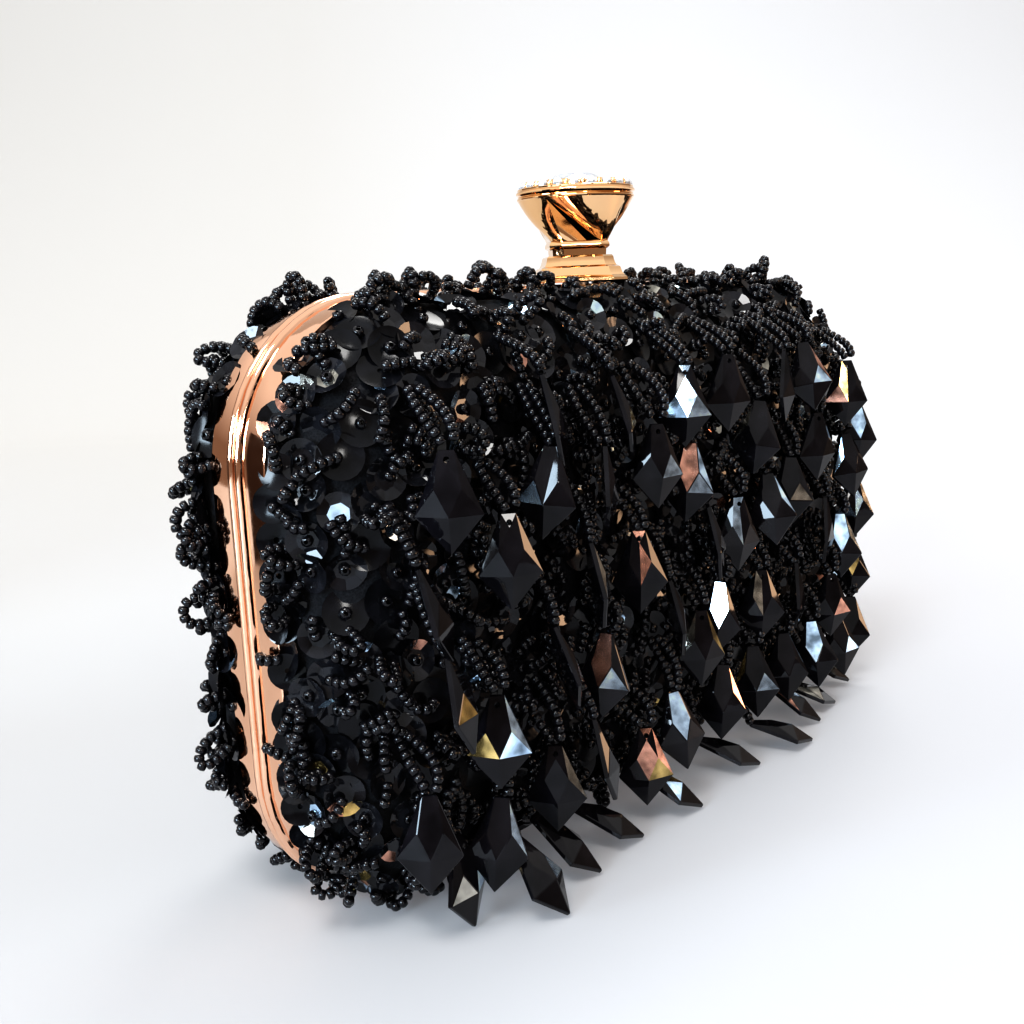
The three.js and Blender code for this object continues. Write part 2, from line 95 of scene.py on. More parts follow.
def copies(name, points, faces, turns, places, smooth):
    """One mesh holding a copy of a small base mesh at each place, turned by each matrix."""
    count, corners = len(places), len(points)
    moved = np.einsum("nij,kj->nki", turns, points) + places[:, None, :]
    sizes = np.array([len(f) for f in faces])
    loops = np.concatenate([np.array(f) for f in faces])
    all_loops = (loops[None, :] + corners * np.arange(count)[:, None]).ravel()
    all_sizes = np.tile(sizes, count).astype(np.int32)
    starts = np.concatenate([[0], np.cumsum(all_sizes)[:-1]])
    mesh = bpy.data.meshes.new(name)
    mesh.vertices.add(count * corners)
    mesh.vertices.foreach_set("co", moved.ravel())
    mesh.loops.add(len(all_loops))
    mesh.loops.foreach_set("vertex_index", all_loops.astype(np.int32))
    mesh.polygons.add(len(all_sizes))
    mesh.polygons.foreach_set("loop_start", starts.astype(np.int32))
    mesh.polygons.foreach_set("loop_total", all_sizes)
    mesh.polygons.foreach_set("use_smooth", np.full(len(all_sizes), smooth))
    mesh.update(calc_edges=True)
    mesh.validate()
    return mesh


def loft_faces(rows, count, closed=False):
    """Quads between rings of count points each, round and round."""
    faces = []
    for r in range(rows if closed else rows - 1):
        nxt = (r + 1) % rows
        for i in range(count):
            j = (i + 1) % count
            faces.append((r * count + i, r * count + j, nxt * count + j, nxt * count + i))
    return faces


def apply_modifiers(piece):
    """Bake a piece's modifiers into its mesh."""
    graph = bpy.context.evaluated_depsgraph_get()
    mesh = bpy.data.meshes.new_from_object(piece.evaluated_get(graph))
    piece.modifiers.clear()
    piece.data = mesh


def bevel(piece, width):
    """Round a piece's sharp edges."""
    mod = piece.modifiers.new("edges", "BEVEL")
    mod.width, mod.segments = width, 2
    mod.limit_method, mod.angle_limit = "ANGLE", math.radians(25)
    mod.harden_normals = True


# ---- materials ----


def principled(name, **values):
    """Material with one Principled shader, its uniform values set on its own sockets."""
    material = bpy.data.materials.new(name)
    material.use_nodes = True
    shader = material.node_tree.nodes["Principled BSDF"]
    for key, value in values.items():
        socket = shader.inputs[key.replace("_", " ")]
        socket.default_value = (*value, 1) if isinstance(value, tuple) else value
    return material, material.node_tree, shader


def textured(tree, kind, scale, **values):
    """Texture node in the object's own coordinates."""
    place = tree.nodes.new("ShaderNodeTexCoord")
    texture = tree.nodes.new(kind)
    texture.inputs["Scale"].default_value = scale
    for key, value in values.items():
        texture.inputs[key.replace("_", " ")].default_value = value
    tree.links.new(place.outputs["Object"], texture.inputs["Vector"])
    return texture


def ramp(tree, source, low, high, first=0.0, last=1.0):
    """Map a texture's value between two numbers or colours."""
    node = tree.nodes.new("ShaderNodeValToRGB")
    ends = node.color_ramp.elements
    for end, place, value in ((ends[0], first, low), (ends[1], last, high)):
        end.position = place
        end.color = (*value, 1) if isinstance(value, tuple) else (value, value, value, 1)
    tree.links.new(source, node.inputs["Fac"])
    return node.outputs["Color"]


def bump(tree, shader, height, strength, distance):
    """Raise the shading by a texture's value."""
    node = tree.nodes.new("ShaderNodeBump")
    node.inputs["Strength"].default_value = strength
    node.inputs["Distance"].default_value = distance
    tree.links.new(height, node.inputs["Height"])
    tree.links.new(node.outputs["Normal"], shader.inputs["Normal"])


def polished_metal(name, colour, dull, rough):
    """Plated metal: slightly uneven colour, faint wear in the roughness and a soft waviness."""
    material, tree, shader = principled(name, Base_Color=colour, Metallic=1.0, Roughness=rough)
    cloud = textured(tree, "ShaderNodeTexNoise", 40, Detail=4.0)
    shade = ramp(tree, cloud.outputs["Fac"], dull, colour, 0.35, 0.65)
    tree.links.new(shade, shader.inputs["Base Color"])
    fine = textured(tree, "ShaderNodeTexNoise", 700, Detail=3.0)
    wear = ramp(tree, fine.outputs["Fac"], rough * 0.7, rough * 1.8, 0.3, 0.8)
    tree.links.new(wear, shader.inputs["Roughness"])
    wave = textured(tree, "ShaderNodeTexNoise", 55, Detail=1.0)
    bump(tree, shader, wave.outputs["Fac"], 0.25, 0.4 * MM)
    return material


def black_gloss(name, rough, ior, waviness, scale):
    """Black glass or acrylic: a hard gloss over black, with moulding waviness."""
    material, tree, shader = principled(
        name, Base_Color=(0.004, 0.004, 0.005), Roughness=rough, IOR=ior,
    )
    cloud = textured(tree, "ShaderNodeTexNoise", scale, Detail=2.0)
    tint = ramp(tree, cloud.outputs["Fac"], (0.002, 0.002, 0.003), (0.009, 0.008, 0.010), 0.3, 0.7)
    tree.links.new(tint, shader.inputs["Base Color"])
    bump(tree, shader, cloud.outputs["Fac"], waviness, 0.3 * MM)
    return material


def sequin_material(name, colour, rough, metallic, ior):
    """Sequin film or foil, with a cloudy colour and a faint dent here and there."""
    material, tree, shader = principled(
        name, Base_Color=colour, Roughness=rough, Metallic=metallic, IOR=ior,
    )
    cloud = textured(tree, "ShaderNodeTexNoise", 260, Detail=2.0)
    dark, light = (tuple(c * share for c in colour) for share in (0.35, 1.8))
    tree.links.new(ramp(tree, cloud.outputs["Fac"], dark, light, 0.3, 0.7), shader.inputs["Base Color"])
    bump(tree, shader, cloud.outputs["Fac"], 0.08, 0.3 * MM)
    return material


def crepe_material():
    """Black woven crepe under the embroidery."""
    material, tree, shader = principled(
        "cover_fabric", Base_Color=(0.008, 0.008, 0.010), Roughness=0.85,
        Sheen_Weight=0.05, Sheen_Roughness=0.4, IOR=1.3,
    )
    weave = textured(tree, "ShaderNodeTexVoronoi", 2600)
    shade = ramp(tree, weave.outputs["Distance"], (0.003, 0.003, 0.004), (0.012, 0.012, 0.014), 0.1, 0.8)
    tree.links.new(shade, shader.inputs["Base Color"])
    bump(tree, shader, weave.outputs["Distance"], 0.5, 0.15 * MM)
    return material


def satin_material():
    """Black satin lining with a fine twill."""
    material, tree, shader = principled(
        "lining_satin", Base_Color=(0.012, 0.012, 0.015), Roughness=0.38,
        Sheen_Weight=0.5, Sheen_Roughness=0.3,
    )
    twill = textured(tree, "ShaderNodeTexWave", 900, Distortion=1.5, Detail=2.0)
    shade = ramp(tree, twill.outputs["Fac"], (0.010, 0.010, 0.013), (0.030, 0.030, 0.036), 0.2, 0.9)
    tree.links.new(shade, shader.inputs["Base Color"])
    bump(tree, shader, twill.outputs["Fac"], 0.15, 0.05 * MM)
    return material


def crystal_material():
    """Foil-backed cut crystal."""
    material, tree, shader = principled(
        "crystal", Base_Color=(0.93, 0.95, 0.98), Roughness=0.03, IOR=1.65,
        Metallic=0.7, Coat_Weight=1.0, Coat_Roughness=0.01,
    )
    cloud = textured(tree, "ShaderNodeTexNoise", 900, Detail=1.0)
    shade = ramp(tree, cloud.outputs["Fac"], (0.55, 0.58, 0.63), (0.90, 0.92, 0.96), 0.3, 0.7)
    tree.links.new(shade, shader.inputs["Base Color"])
    return material


def steel_material():
    """Plain steel of the lock and the hinge pin."""
    material, tree, shader = principled(
        "lock_steel", Base_Color=(0.5, 0.5, 0.52), Metallic=1.0, Roughness=0.32,
    )
    grain = textured(tree, "ShaderNodeTexNoise", 1500, Detail=3.0)
    tree.links.new(ramp(tree, grain.outputs["Fac"], 0.22, 0.45), shader.inputs["Roughness"])
    bump(tree, shader, grain.outputs["Fac"], 0.1, 0.05 * MM)
    return material


def shell_material():
    """Moulded black board of the shells."""
    material, tree, shader = principled("shell_board", Base_Color=(0.03, 0.03, 0.032), Roughness=0.6)
    grain = textured(tree, "ShaderNodeTexNoise", 900, Detail=4.0)
    shade = ramp(tree, grain.outputs["Fac"], (0.02, 0.02, 0.02), (0.05, 0.05, 0.05), 0.3, 0.7)
    tree.links.new(shade, shader.inputs["Base Color"])
    bump(tree, shader, grain.outputs["Fac"], 0.3, 0.1 * MM)
    return material


rose_gold = polished_metal("rose_gold", (0.93, 0.60, 0.43), (0.84, 0.52, 0.36), 0.06)
knob_gold = polished_metal("knob_gold", (0.93, 0.62, 0.36), (0.86, 0.55, 0.30), 0.05)
bead_glass = black_gloss("bead_glass", 0.03, 1.43, 0.01, 500)
drop_gloss = black_gloss("drop_gloss", 0.03, 1.38, 0.06, 160)
sequin_gloss = sequin_material("sequin_gloss", (0.010, 0.010, 0.012), 0.05, 0.15, 1.45)
sequin_satin = sequin_material("sequin_satin", (0.004, 0.004, 0.005), 0.14, 0.0, 1.33)
# Foil colours, partly a coloured coating and partly painted glints: painted reflections of the window
# lights on chosen facets.
FOILS_AND_PAINTED_GLINTS = [
    sequin_material("foil_blue", (0.50, 0.66, 0.84), 0.14, 0.9, 1.5),
    sequin_material("foil_silver", (0.30, 0.29, 0.26), 0.12, 0.9, 1.5),
    sequin_material("foil_copper", (0.46, 0.26, 0.20), 0.16, 0.9, 1.5),
    sequin_material("foil_gold", (0.40, 0.30, 0.13), 0.14, 0.9, 1.5),
]
FOIL_AND_GLINT_SHARES = [0.42, 0.28, 0.18, 0.12]
# Shares of the swinging drops', still drops' and cup sequins' facets that get foil with painted glints.
SWINGING_FOIL_GLINT_SHARE, STILL_FOIL_GLINT_SHARE, SEQUIN_FOIL_GLINT_SHARE = 0.24, 0.22, 0.07
crepe = crepe_material()
satin = satin_material()
crystal = crystal_material()
steel = steel_material()
shell_board = shell_material()


def recolour(node, material):
    """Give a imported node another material."""
    piece = frame["nodes"][node]
    piece.data.materials.clear()
    piece.data.materials.append(material)
    return piece


def paint_foils_and_glints(piece, groups):
    """Give each group of polygons one of the foil colours, which are partly a coating and partly painted
    glints.
    """
    chosen = np.zeros(len(piece.data.polygons), dtype=np.int32)
    for group in groups:
        chosen[group] = 1 + rng.choice(len(FOILS_AND_PAINTED_GLINTS), p=FOIL_AND_GLINT_SHARES)
    for material in FOILS_AND_PAINTED_GLINTS:
        piece.data.materials.append(material)
    piece.data.polygons.foreach_set("material_index", chosen)


def facets(mesh):
    """A drop's larger facets that face forward and up, each as a list of polygon numbers; these are the
    facets that may get foil with painted glints.
    """
    groups = {}
    for polygon in mesh.polygons:
        if polygon.normal.y < -0.2 and polygon.normal.z > -0.15:
            groups.setdefault(tuple(round(v, 1) for v in polygon.normal), []).append(polygon)
    least_area = 6 * MM * MM
    large = [group for group in groups.values() if sum(p.area for p in group) > least_area]
    return [[p.index for p in group] for group in large]


# ---- outline of the halves ----

CORNER_STEPS, SIDE_STEPS = 12, 14


def outline(inset=0.0, slope=0.0):
    """Points (x, z) round the bag: round corners joined by straight sides.

    slope is an extra inset that fades out towards the flat bottom.
    """
    radius = max(CORNER - inset, MIN_CORNER)
    cx, cz = HALF_WIDTH - inset - radius, HEIGHT / 2 - inset - radius
    corners = ((1, 1), (-1, 1), (-1, -1), (1, -1))
    rounds = []
    for quarter, (sx, sz) in enumerate(corners):
        angles = (quarter + np.linspace(0, 1, CORNER_STEPS + 1)) * math.pi / 2
        low = np.maximum(0, -np.sin(angles)) if sz < 0 else np.zeros(len(angles))
        reach = radius - slope * (1 - low)
        x = sx * cx + reach * np.cos(angles)
        z = sz * cz + reach * np.sin(angles) + HEIGHT / 2
        rounds.append(np.stack([x, z], -1))
    points = []
    for quarter, arc in enumerate(rounds):
        after = rounds[(quarter + 1) % 4][0]
        share = np.linspace(0, 1, SIDE_STEPS + 2)[1:-1, None]
        points += [arc, arc[-1] * (1 - share) + after * share]
    return np.concatenate(points)


def ring(inset, depth, side, slope=0.0, scale=1.0):
    """Outline at a depth from the seam, on the front or the rear side."""
    flat = outline(inset, slope)
    x = flat[:, 0] * scale
    z = (flat[:, 1] - HEIGHT / 2) * scale + HEIGHT / 2
    return np.stack([x, np.full(len(x), SEAM_Y - side * depth), z], -1)


def dome_rings(edge, inset, depth, side, steps=12, crown_steps=10):
    """Rings of a dome, from its edge to the middle of its face."""
    rings = []
    for angle in np.linspace(0, math.pi / 2, steps + 1):
        in_by = edge + inset * (1 - math.cos(angle))
        rings.append(ring(in_by, DOME_START + depth * math.sin(angle), side))
    for scale in np.linspace(1, 0.02, crown_steps + 1)[1:]:
        rings.append(ring(edge + inset, DOME_START + depth + CROWN * (1 - scale**2), side, scale=scale))
    return rings


def dome_at(offset):
    """Edge, inset and depth of a dome surface at an offset out from the shell."""
    return SHELL_EDGE - offset, DOME_INSET, DOME_DEPTH + offset


# ---- frames ----


def half_round(start, end, bulge, steps=9):
    """Section points of a raised bead between two depths: (inset, depth)."""
    points = []
    for angle in np.linspace(0, math.pi, steps):
        depth = (start + end) / 2 - (end - start) / 2 * math.cos(angle)
        points.append((-bulge * math.sin(angle), depth, 0.0))
    return points


def frame_section():
    """Closed section of a frame half: inset, depth from the seam, and share of the slope."""
    wall, flange, flange_depth = 1.2 * MM, 4 * MM, 2.2 * MM
    bead_end, band_start, band_end, crown = 1.8 * MM, 2.0 * MM, BAND - 0.4 * MM, 0.12 * MM
    outer = [(flange, SEAM, 0.0)]
    outer += half_round(SEAM, bead_end, BEAD)
    outer.append((0.1 * MM, bead_end + 0.05 * MM, 0.0))
    for share in np.linspace(0, 1, 7):
        depth = band_start + share * (band_end - band_start)
        outer.append((-crown * math.sin(math.pi * share), depth, share))
    outer += [(0.03 * MM, BAND - 0.15 * MM, 1.0), (0.15 * MM, BAND, 1.0)]
    inner = [(wall, BAND, 1.0), (wall, flange_depth, 0.0), (flange, flange_depth, 0.0)]
    return outer + inner


def cutter(name, build):
    """Tool for a cut, made from a bmesh."""
    mesh = bpy.data.meshes.new(name)
    build.to_mesh(mesh)
    build.free()
    piece = bpy.data.objects.new(name, mesh)
    bpy.context.scene.collection.objects.link(piece)
    return piece


def cut_frame(piece):
    """Take away the hinge slot and the hole for the press stem."""
    box = bmesh.new()
    bmesh.ops.create_cube(box, size=1)
    half_x, half_y, top = HINGE_SLOT
    reach = top + 3 * MM
    shape = Matrix.Translation((0, SEAM_Y, top - reach / 2))
    shape = shape @ Matrix.Diagonal((2 * half_x, 2 * half_y, reach, 1))
    bmesh.ops.transform(box, matrix=shape, verts=box.verts)
    hole = bmesh.new()
    bmesh.ops.create_cone(
        hole, segments=32, radius1=STEM_NOTCH_R, radius2=STEM_NOTCH_R, depth=12 * MM, cap_ends=True,
    )
    bmesh.ops.translate(hole, vec=(0, SEAM_Y, HEIGHT - 1 * MM), verts=hole.verts)
    tools = [cutter("slot", box), cutter("notch", hole)]
    for tool in tools:
        mod = piece.modifiers.new("cut", "BOOLEAN")
        mod.operation, mod.solver, mod.object = "DIFFERENCE", "EXACT", tool
    apply_modifiers(piece)
    for tool in tools:
        bpy.data.objects.remove(tool)


def make_frame(name, side, body):
    """Frame half: the section carried round the outline."""
    rings = [ring(inset, depth, side, share * BAND_SLOPE) for inset, depth, share in frame_section()]
    count = len(rings[0])
    faces = loft_faces(len(rings), count, closed=True)
    if side == FRONT:
        faces = [face[::-1] for face in faces]
    mesh = mesh_from(f"{name}_look", np.concatenate(rings), faces)
    piece = new_object(f"{name}_look", mesh, rose_gold, body)
    cut_frame(piece)
    piece.data.polygons.foreach_set("use_smooth", [True] * len(piece.data.polygons))
    piece.data.set_sharp_from_angle(angle=math.radians(32))
    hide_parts(name)


# ---- covers and linings ----


def make_skin(node, suffix, offsets, material, side, body):
    """Closed thin skin between two domes, in place of a cover or a lining."""
    outer_rings, inner_rings = (dome_rings(*dome_at(offset), side) for offset in offsets)
    rings = outer_rings[::-1] + inner_rings
    count = len(rings[0])
    points = np.concatenate(rings)
    faces = loft_faces(len(rings), count)
    faces.append(tuple(range(count))[::-1])
    faces.append(tuple(range(len(points) - count, len(points))))
    if side == FRONT:
        faces = [face[::-1] for face in faces]
    name = f"{node}_{suffix}"
    piece = new_object(name, mesh_from(name, points, faces), material, body)
    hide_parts(node)
    return piece


def make_cover(node, side, body):
    return make_skin(node, "fabric", (1.2 * MM, 0.4 * MM), crepe, side, body)


def make_lining(node, side, body):
    return make_skin(node, "satin", (-2.4 * MM, -3.2 * MM), satin, side, body)


# ---- surface samples ----


def dome_samples(side, offset, spacing, tries, seed):
    """Points spread over a dome at least a spacing apart, with their outward directions."""
    local = np.random.default_rng(seed)
    rings = dome_rings(*dome_at(offset), side)
    count = len(rings[0])
    points = np.concatenate(rings)
    quads = np.array(loft_faces(len(rings), count))
    tris = np.concatenate([quads[:, [0, 1, 2]], quads[:, [0, 2, 3]]])
    a, b, c = (points[tris[:, k]] for k in range(3))
    cross = np.cross(b - a, c - a)
    area = np.linalg.norm(cross, axis=1)
    picked = local.choice(len(tris), tries, p=area / area.sum())
    u, v = local.random(tries), local.random(tries)
    flip = u + v > 1
    u[flip], v[flip] = 1 - u[flip], 1 - v[flip]
    spots = a[picked] + (b - a)[picked] * u[:, None] + (c - a)[picked] * v[:, None]
    normals = cross[picked] / area[picked][:, None]
    centre = np.array([0, SEAM_Y, HEIGHT / 2])
    normals[np.einsum("ij,ij->i", normals, spots - centre) < 0] *= -1
    kept, kept_normals = np.empty((0, 3)), []
    for spot, normal in zip(spots, normals):
        if len(kept) and np.min(np.sum((kept - spot) ** 2, 1)) < spacing**2:
            continue
        kept = np.vstack([kept, spot])
        kept_normals.append(normal)
    return kept, np.array(kept_normals)


def points_and_faces(build):
    """Take a small shape out of its bmesh."""
    build.verts.ensure_lookup_table()
    points = np.array([v.co[:] for v in build.verts])
    faces = [tuple(v.index for v in f.verts) for f in build.faces]
    build.free()
    return points, faces


def turn_to(axis, up_hint):
    """Rotation whose third column is axis and whose first lies near the hint."""
    w = axis / np.linalg.norm(axis)
    u = up_hint - w * np.dot(up_hint, w)
    if np.linalg.norm(u) < 1e-6:
        u = np.cross(w, (0.3, 0.8, 0.5))
    u /= np.linalg.norm(u)
    return np.stack([u, np.cross(w, u), w], -1)


# ---- seed beads ----

BEAD_R, BEAD_HOLE, BEAD_LENGTH, BEAD_SIDES = 1.1 * MM, 0.4 * MM, 1.5 * MM, 8


def bead_shape():
    """Rounded ring bead on its own Z axis, open through the middle."""
    half, shoulder = BEAD_LENGTH / 2, 0.84
    profile = [(BEAD_HOLE, -half * 0.93), (BEAD_R * shoulder, -half * shoulder), (BEAD_R, 0),
               (BEAD_R * shoulder, half * shoulder), (BEAD_HOLE, half * 0.93)]
    angles = np.arange(BEAD_SIDES) * 2 * math.pi / BEAD_SIDES
    points = [(r * math.cos(t), r * math.sin(t), z) for r, z in profile for t in angles]
    return np.array(points), loft_faces(len(profile), BEAD_SIDES)


class Strings:
    """Gathers the beads of many strings into one piece."""

    def __init__(self):
        self.places, self.turns = [], []

    def add(self, path):
        """Thread beads along a path, a bead's length apart, unless it would reach the floor."""
        path = np.asarray(path)
        if path[:, 2].min() < BEAD_R:
            return
        steps = np.linalg.norm(np.diff(path, axis=0), axis=1)
        along = np.concatenate([[0], np.cumsum(steps)])
        count = max(1, int(along[-1] / BEAD_LENGTH))
        stops = (np.arange(count) + 0.5) * BEAD_LENGTH
        for stop in stops:
            k = max(0, min(np.searchsorted(along, stop) - 1, len(steps) - 1))
            share = (stop - along[k]) / max(steps[k], 1e-9)
            tangent = path[k + 1] - path[k]
            self.places.append(path[k] + tangent * share)
            self.turns.append(turn_to(tangent, rng.normal(size=3)))

    def build(self, name, body):
        """Make the piece, each bead a little larger or smaller than the next."""
        points, faces = bead_shape()
        sizes = rng.uniform(0.93, 1.05, len(self.places))
        turns = np.array(self.turns) * sizes[:, None, None]
        mesh = copies(name, points, faces, turns, np.array(self.places), True)
        piece = new_object(name, mesh, bead_glass, body)


def standing_loop(base, normal, width, height, lean, heading):
    """Path of a bead loop that stands on the fabric with both ends in it."""
    across = turn_to(normal, heading)[:, 0]
    up = normal + lean
    up /= np.linalg.norm(up)
    points = []
    for t in np.linspace(0, math.pi, 25):
        out = height * math.sin(t) ** 0.8
        side = width * math.cos(t) * (0.62 + 0.55 * math.sin(t))
        points.append(base + across * side + up * (out + BEAD_R * 0.4))
    return points


def lying_string(base, normal, length, rise, heading, bend):
    """Path of a short bead string that lies on the fabric, arched a little."""
    along, aside, _ = turn_to(normal, heading).T
    points = []
    for t in np.linspace(0, 1, 13):
        arch = rise * math.sin(math.pi * t)
        drift = bend * math.sin(math.pi * t)
        points.append(base + along * length * t + aside * drift + normal * (arch + BEAD_R * 0.9))
    return points


# ---- sequins ----


def cup_sequin(sides, radius, flat, depth, arc_steps):
    """Faceted cup: a flat polygon in the middle and a ring of flat facets up to a round rim."""
    turn = 2 * math.pi / sides
    inner = [(flat * math.cos(k * turn), flat * math.sin(k * turn), 0) for k in range(sides)]
    outer = []
    middle = flat * math.cos(turn / 2)
    for k in range(sides * arc_steps):
        angle = k * turn / arc_steps
        away = (k % arc_steps) / arc_steps * turn - turn / 2
        rise = (radius * math.cos(away) - middle) / (radius - middle) * depth
        outer.append((radius * math.cos(angle), radius * math.sin(angle), rise))
    faces = [tuple(range(sides))]
    ring_count = sides * arc_steps
    for k in range(sides):
        arc = [sides + (k * arc_steps + j) % ring_count for j in range(arc_steps + 1)]
        faces.append((k, *arc, (k + 1) % sides))
    return np.array(inner + outer), faces


def disc_sequin(radius, dish, steps=20):
    """Smooth disc, slightly dished, with a small hole in the middle."""
    rows = [(0.5 * MM, 0.0), (radius * 0.4, dish * 0.1), (radius * 0.85, dish * 0.7), (radius, dish)]
    points = [(r * math.cos(t), r * math.sin(t), z)
              for r, z in rows for t in np.arange(steps) * 2 * math.pi / steps]
    return np.array(points), loft_faces(len(rows), steps)


def scatter_sequins(name, base, spots, normals, material, body, tilt, lift, smooth):
    """Copies of one sequin on the fabric, tilted by different amounts."""
    lean = rng.normal(0, tilt, (len(spots), 3))
    turns = [turn_to(normal + away, rng.normal(size=3)) for normal, away in zip(normals, lean)]
    mesh = copies(name, *base, np.array(turns), spots + normals * lift, smooth)
    piece = new_object(name, mesh, material, body)
    return piece


def embroider(side, body, seed, strings):
    """Sequins, lying bead strings and standing bead loops over one cover."""
    tag = "front" if side == FRONT else "rear"
    sequin_spacing, loop_spacing, lowest = 4.7 * MM, 9.5 * MM, 4.5 * MM
    spots, normals = dome_samples(side, FABRIC_TOP, sequin_spacing, 7000, seed)
    high = spots[:, 2] > lowest
    spots, normals = spots[high], normals[high]
    kind = rng.random(len(spots))
    cups = kind < 0.62
    discs = ~cups
    piece = scatter_sequins(f"{tag}_cup_sequins", cup_sequin(7, 3.7 * MM, 2.0 * MM, 0.9 * MM, 3),
                            spots[cups], normals[cups], sequin_gloss, body, 0.22, 0.7 * MM, False)
    # Some cup sequin facets get foil colours, partly a coating and partly painted glints.
    paint_foils_and_glints(piece, [[k] for k in range(len(piece.data.polygons)) if rng.random() < SEQUIN_FOIL_GLINT_SHARE])
    scatter_sequins(f"{tag}_disc_sequins", disc_sequin(4.1 * MM, 0.5 * MM),
                    spots[discs], normals[discs], sequin_satin, body, 0.16, 0.4 * MM, True)
    gathered = Strings()
    for spot, normal in zip(spots, normals):
        if rng.random() < strings:
            length = rng.uniform(5, 9) * MM
            heading = rng.normal(size=3)
            rise, bend = rng.uniform(0.5, 2.0) * MM, rng.uniform(-1.5, 1.5) * MM
            gathered.add(lying_string(spot + normal * 0.7 * MM, normal, length, rise, heading, bend))
        else:
            gathered.add([spot + normal * 0.3 * MM, spot + normal * 2.2 * MM])
    feet, upright = dome_samples(side, FABRIC_TOP, loop_spacing, 2600, seed + 1)
    for spot, normal in zip(feet, upright):
        by_knob = abs(spot[0]) < 14 * MM and spot[2] > HEIGHT - 7 * MM
        if not by_knob:
            lean = rng.normal(0, 0.35, 3) + np.array([0, 0, -0.25])
            width, height = rng.uniform(1.9, 2.9) * MM, rng.uniform(3.8, 6.6) * MM
            gathered.add(standing_loop(spot, normal, width, height, lean, rng.normal(size=3)))
    edge_rows(side, body, tag, gathered)
    return gathered


def edge_places(side):
    """Places along the edge of a cover: spots, outward directions and directions along the edge."""
    behind_band, least, most = (1.0, 4.6, 8.5) if side == FRONT else (2.2, 5.5, 9.5)
    path = ring(1.2 * MM, BAND + behind_band * MM, side)
    path = np.vstack([path, path[:1]])
    steps = np.linalg.norm(np.diff(path, axis=0), axis=1)
    along = np.concatenate([[0], np.cumsum(steps)])
    spots, normals, tangents = [], [], []
    stop = 0.0
    while stop < along[-1]:
        k = min(int(np.searchsorted(along, stop, side="right")) - 1, len(steps) - 1)
        tangent = (path[k + 1] - path[k]) / steps[k]
        spot = path[k] + tangent * (stop - along[k])
        outward = np.cross(tangent, (0, 1, 0))
        if np.dot(outward, spot - np.array([0, spot[1], HEIGHT / 2])) < 0:
            outward = -outward
        by_knob = abs(spot[0]) < 16 * MM and spot[2] > HEIGHT - 14 * MM
        if spot[2] > 6 * MM and not by_knob:
            spots.append(spot)
            tangents.append(tangent)
            normals.append(outward * rng.uniform(0.55, 0.95) + np.array([0, -side * 0.6, 0]))
        stop += rng.uniform(least, most) * MM
    normals = np.array(normals)
    normals /= np.linalg.norm(normals, axis=1)[:, None]
    return np.array(spots), normals, tangents


def edge_rows(side, body, tag, gathered):
    """Sequins on the upright edges of a cover, and bead loops and strings all along its edge."""
    spots, normals, tangents = edge_places(side)
    upright = (np.abs(spots[:, 0]) > HALF_WIDTH - 8 * MM) & (spots[:, 2] < HEIGHT - 28 * MM)
    scatter_sequins(f"{tag}_edge_sequins", disc_sequin(3.4 * MM, 0.5 * MM), spots[upright],
                    normals[upright], sequin_satin, body, 0.10, 0.9 * MM, True)
    loops = 0.3 if side == FRONT else 0.5
    for spot, normal, tangent in zip(spots, normals, tangents):
        share = rng.random()
        if share < loops:
            width, height = rng.uniform(2.6, 3.6) * MM, rng.uniform(4.5, 7.5) * MM
            lean = rng.normal(0, 0.3, 3)
            heading = tangent + rng.normal(0, 0.3, 3)
            gathered.add(standing_loop(spot, normal, width, height, lean, heading))
        elif share < 0.6:
            length, heading = rng.uniform(4, 7) * MM, np.array([0, -side, -0.6])
            gathered.add(lying_string(spot + normal * 1.2 * MM, normal, length, 0.8 * MM, heading, 0))


# ---- drops ----

KITE_WIDTH, KITE_HEIGHT, KITE_DEPTH = 11.6 * MM, 17.6 * MM, 3.1 * MM
KITE_EDGE, KITE_HOLE_Y, FLOOR_GAP = 0.13 * MM, -0.6 * MM, 0.45 * MM


def kite_shape():
    """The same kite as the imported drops, with bevelled edges, hanging from its top."""
    half, widest, top_half, rim = KITE_WIDTH / 2, -0.62 * KITE_HEIGHT, 1.3 * MM, 0.9 * MM
    build = bmesh.new()
    for x, z in ((-top_half, 0), (top_half, 0), (half, widest), (0, -KITE_HEIGHT), (-half, widest)):
        build.verts.new((x, 0, z))
        build.verts.new((x, -rim, z))
    build.verts.new((0, -1.5 * MM, -2.4 * MM))
    build.verts.new((0, -KITE_DEPTH, widest))
    build.verts.new((-2.3 * MM, -2.2 * MM, -6.3 * MM))
    build.verts.new((2.3 * MM, -2.2 * MM, -6.3 * MM))
    bmesh.ops.convex_hull(build, input=build.verts)
    bmesh.ops.dissolve_limit(build, angle_limit=math.radians(4), verts=build.verts, edges=build.edges)
    bmesh.ops.bevel(build, geom=build.edges, offset=KITE_EDGE, segments=1, affect="EDGES")
    return points_and_faces(build)


def cover_depth(x, z, offset):
    """Depth of a dome surface in front of the seam at a place on its face."""
    edge, inset, depth = dome_at(offset)
    within = min(HALF_WIDTH - abs(x), HEIGHT - z, z)
    share = min(1.0, max(0.0, (within - edge) / inset))
    return DOME_START + depth * math.sqrt(1 - (1 - share) ** 2) + CROWN * share


